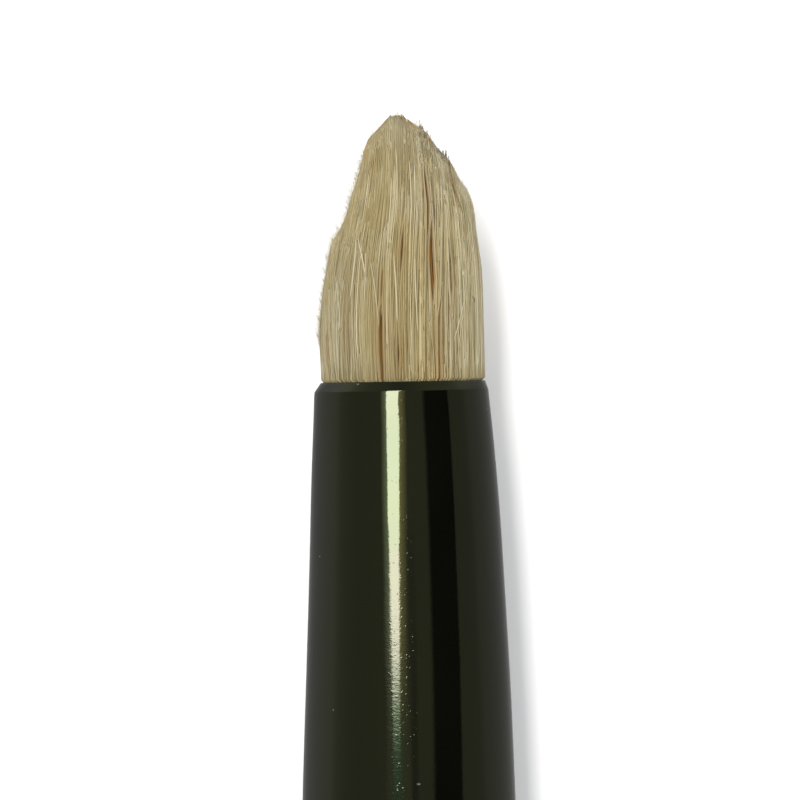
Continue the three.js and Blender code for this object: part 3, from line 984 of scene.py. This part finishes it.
def packed_core():
    """The closely packed middle of the tuft, ridged along its hairs, from the root to the tip."""
    rng = np.random.default_rng(41)
    around = 260
    angle = np.arange(around) * 2 * math.pi / around
    ridge = 1 + 0.03 * rng.uniform(-1, 1, around)
    y = np.concatenate([[ROOT_END_Y, -8, ROOT_TOP_Y, -2.5, -1], np.linspace(0, TIP_Y - 1.2, 34)])
    centre, half, depth = outline(np.maximum(y, 0))
    mouth = smoothstep(-0.5, 0.5, y)
    root = ROOT_RADIUS + (SOCKET_RADIUS - ROOT_RADIUS) * smoothstep(ROOT_TOP_Y, 0, y)
    wide = CORE_SHARE * (root + (half - root) * mouth) * (1 - 0.25 * smoothstep(14, 19.5, y))
    thick = CORE_SHARE * (root + (depth - root) * mouth)
    x = (centre * mouth)[:, None] + wide[:, None] * ridge * np.sin(angle)
    z = thick[:, None] * ridge * np.cos(angle)
    points = np.stack([x, np.broadcast_to(y[:, None], x.shape), z], axis=-1).reshape(-1, 3)
    low, high = len(points), len(points) + 1
    ends = [[0, ROOT_END_Y, 0], [centre[-1], TIP_Y - 0.9, 0]]
    faces = []
    for k in range(around):
        n = (k + 1) % around
        faces.append([low, k, n])
        faces.append([high, (len(y) - 1) * around + n, (len(y) - 1) * around + k])
        for row in range(len(y) - 1):
            a, b = row * around, (row + 1) * around
            faces.append([a + k, b + k, b + n, a + n])
    mesh = mesh_of("packed_core_hairs", np.concatenate([points, ends]), faces)
    sharpen(mesh, 180)
    return new_object("packed_core_hairs", mesh, PACKED_HAIR)


def bend_with_tuft(piece):
    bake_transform(piece)


PALE_HAIR = hair("pale_hair", (0.232, 0.172, 0.076), (0.342, 0.286, 0.154), (0.53, 0.48, 0.335))
INNER_HAIR = hair("golden_hair", (0.20, 0.10, 0.025), (0.34, 0.21, 0.07), (0.46, 0.35, 0.17))
PACKED_HAIR = packed_hair()

BUNDLES = [
    # name, hairs, shares of the radius, locks, seed, tone, thickness, kind
    ("mantle_hairs_tips", 1300, (0.975, 1.0), 95, 13, 0.5, 0.95, "tips"),
    ("mantle_hairs_long", 1900, (0.94, 1.0), 75, 11, 0.47, 1.0, "long"),
    ("mantle_hairs_fine", 1900, (0.96, 1.0), 80, 14, 0.5, 0.8, "long"),
    ("mantle_hairs_under", 2000, (BELLY_SHARE, 0.95), 90, 12, 0.42, 1.15, "long"),
    ("belly_hairs_all", 2000, (CORE_SHARE, BELLY_SHARE), 80, 21, 0.45, 1.25, "long"),
]

for label, *how in BUNDLES:
    finish = (INNER_HAIR, "inner_hair") if label.startswith("belly") else (PALE_HAIR, "outer_hair")
    bundle = hair_bundle(label, *how, *finish)
    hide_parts(label.rsplit("_", 1)[0])
    bend_with_tuft(bundle)

core = packed_core()
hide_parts("core_hairs")
bend_with_tuft(core)
bend_with_tuft(loose_hairs())
bend_with_tuft(fringe())


# ---------------------------------------------------------------- stage

def camera():
    """Square to the brush's axis, over its lip."""
    data = bpy.data.cameras.new("camera")
    data.sensor_width = 36
    data.lens = data.sensor_width * CAMERA_HEIGHT / PICTURE_WIDTH
    data.clip_start, data.clip_end = 0.01, 10
    eye = bpy.data.objects.new("camera", data)
    bpy.context.scene.collection.objects.link(eye)
    up = Vector(math.sin(BRUSH_LEAN) * RIGHT + math.cos(BRUSH_LEAN) * FORWARD)
    back = Vector(UP)
    turn = Matrix((up.cross(back), up, back)).transposed()
    eye.matrix_world = Matrix.Translation(to_world((*AIM, CAMERA_HEIGHT))) @ turn.to_4x4()
    bpy.context.scene.camera = eye


def floor():
    mesh = bpy.data.meshes.new("table")
    side = 2.5
    corners = [(-side, -side, 0), (side, -side, 0), (side, side, 0), (-side, side, 0)]
    mesh.from_pydata(corners, [], [[0, 1, 2, 3]])
    plane = bpy.data.objects.new("table", mesh)
    bpy.context.scene.collection.objects.link(plane)
    mesh.materials.append(paper())
    plane.location.z = -0.00006        # just clear of the lowest points of the brush
    plane.visible_glossy = False


def softbox(name, across, along, radiance, colour):
    """A softbox high over the lip, between two leans to the right and two towards the tip, in
    degrees. It lights matt surfaces; what shines is lit by the window and the room."""
    x0, x1 = (REACH * math.tan(math.radians(a)) for a in across)
    y0, y1 = (REACH * math.tan(math.radians(a)) for a in along)
    data = bpy.data.lights.new(name, "AREA")
    data.shape = "RECTANGLE"
    data.size, data.size_y = x1 - x0, y1 - y0
    data.energy = radiance * math.pi * data.size * data.size_y
    data.color = colour
    lamp = bpy.data.objects.new(name, data)
    bpy.context.scene.collection.objects.link(lamp)
    lamp.location = Vector(LIP) + Vector(((x0 + x1) / 2, (y0 + y1) / 2, REACH))
    lamp.visible_camera = False
    lamp.visible_glossy = False


def window():
    """The glowing window that shines in the lacquer and nowhere else."""
    high = REACH * 0.97        # just under the lamps
    points, glow, faces = [], [], []

    def pane(rows):
        """A strip from rows of two corners, each given by its leans along and across and its colour."""
        first = len(points)
        for along, *corners in rows:
            for lean, colour in corners:
                x, y = (high * math.tan(math.radians(a)) for a in (lean, along))
                points.append(tuple(Vector(LIP) + Vector((x, y, high))))
                glow.append([*colour, 1.0])
        faces.extend([i, i + 1, i + 3, i + 2] for i in range(first, len(points) - 2, 2))

    def beside(edge, row, spread, share, tint):
        """The glow along one edge of the window, from a share of its radiance down to the room's level."""
        near = [ROOM_LEVEL + row[3] * share * a * b for a, b in zip(row[4], tint)]
        return row[0], (edge, near), (edge + spread, [ROOM_LEVEL] * 3)

    def lit(row):
        colour = [row[3] * c for c in row[4]]
        return row[0], (row[1], colour), (row[2], colour)

    pane([lit(row) for row in WINDOW])
    pane([beside(row[1], row, *GLOW_LEFT) for row in WINDOW])
    pane([beside(row[2], row, *GLOW_RIGHT) for row in WINDOW])
    mesh = bpy.data.meshes.new("window")
    mesh.from_pydata(points, [], faces)
    layer = mesh.attributes.new("glow", "FLOAT_COLOR", "POINT")
    layer.data.foreach_set("color", np.array(glow, float).ravel())
    shine = bpy.data.materials.new("window_glow")
    shine.use_nodes = True
    nodes = Nodes(shine.node_tree)
    emitter = nodes.node("ShaderNodeEmission")
    colour = nodes.node("ShaderNodeAttribute", attribute_name="glow")
    nodes.join((colour, "Color"), emitter.inputs["Color"])
    nodes.join((emitter, "Emission"), nodes.node("ShaderNodeOutputMaterial").inputs["Surface"])
    mesh.materials.append(shine)
    glass = bpy.data.objects.new("window", mesh)
    bpy.context.scene.collection.objects.link(glass)
    glass.visible_camera = False
    glass.visible_diffuse = False
    glass.visible_shadow = False
    polished = bpy.data.collections.new("polished")
    for piece in bpy.data.objects:
        if piece.name in ("lacquered_head", "lacquered_shaft", "finial_knob"):
            polished.objects.link(piece)
    glass.light_linking.receiver_collection = polished


def lights():
    """The key over the camera's left shoulder, and a broad fill."""
    softbox("key", (-12.4, -5.3), (0, 30), KEY, (1.0, 0.99, 0.965))
    softbox("fill", (-70, 70), (-70, 70), FILL, (0.985, 1.0, 1.01))


def surroundings():
    """A dim studio, as the polish sees it: a grey ceiling with a faint seam over the brush and a
    dark gap to the right of the camera, brighter at the sides beyond the tip, and darker below the
    edge of the table."""
    world = bpy.data.worlds.new("studio")
    bpy.context.scene.world = world
    world.use_nodes = True
    nodes = Nodes(world.node_tree)
    maths, fade = nodes.maths, nodes.fade
    axes = nodes.node("ShaderNodeSeparateXYZ")
    nodes.join((nodes.node("ShaderNodeTexCoord"), "Generated"), axes.inputs["Vector"])
    x, y, z = ((axes, name) for name in "XYZ")

    lean = maths("MULTIPLY", maths("ARCTAN2", x, z), 180 / math.pi)
    tilt = maths("MULTIPLY", maths("ARCSINE", y), 180 / math.pi)
    away = maths("ABSOLUTE", lean)
    ceiling = fade(away, 20, 88, 0.56, 0.45)
    table = fade(away, 90, 150, 0.56, 0.26)
    below = fade(away, 84, 97, 0, 1)
    overhead = maths("MULTIPLY", ceiling, maths("SUBTRACT", 1.0, below))
    room = maths("ADD", overhead, maths("MULTIPLY", table, below))
    aside = maths("MULTIPLY_ADD", maths("ABSOLUTE", x), 1.2, 0.76)
    ahead = fade(y, 0.3, 0.6, 0, 1)
    ahead = maths("MULTIPLY_ADD", maths("SUBTRACT", aside, 1.0), ahead, 1.0)
    right_edge = maths("SUBTRACT", lean, maths("MULTIPLY", tilt, 0.35))
    gap = maths("MULTIPLY", fade(lean, 24.5, 31, 0, 1), fade(right_edge, 59.6, 62.3, 1, 0))
    gap = maths("MULTIPLY", gap, fade(y, 0.3, 0.45, 0.97, 0))
    seam = maths("MULTIPLY", fade(lean, 1.5, 5, 0, 1), fade(lean, 8, 12, 1, 0))
    seam = maths("MULTIPLY", seam, fade(tilt, 1.9, 2.9, 0.42, 0))
    open_sky = maths("MULTIPLY", maths("SUBTRACT", 1.0, gap), maths("SUBTRACT", 1.0, seam))
    level = maths("MULTIPLY", maths("MULTIPLY", room, ahead), open_sky)
    level = maths("MULTIPLY", level, fade(lean, -97, -55, 1.35, 1.0))
    level = maths("MULTIPLY", level, fade(lean, 100, 160, 1.0, 1.5))
    back = nodes.node("ShaderNodeBackground")
    nodes.join(level, back.inputs["Strength"])
    nodes.join((back, "Background"), nodes.node("ShaderNodeOutputWorld").inputs["Surface"])


camera()
floor()
lights()
window()
surroundings()
bpy.context.scene.view_settings.view_transform = "Standard"
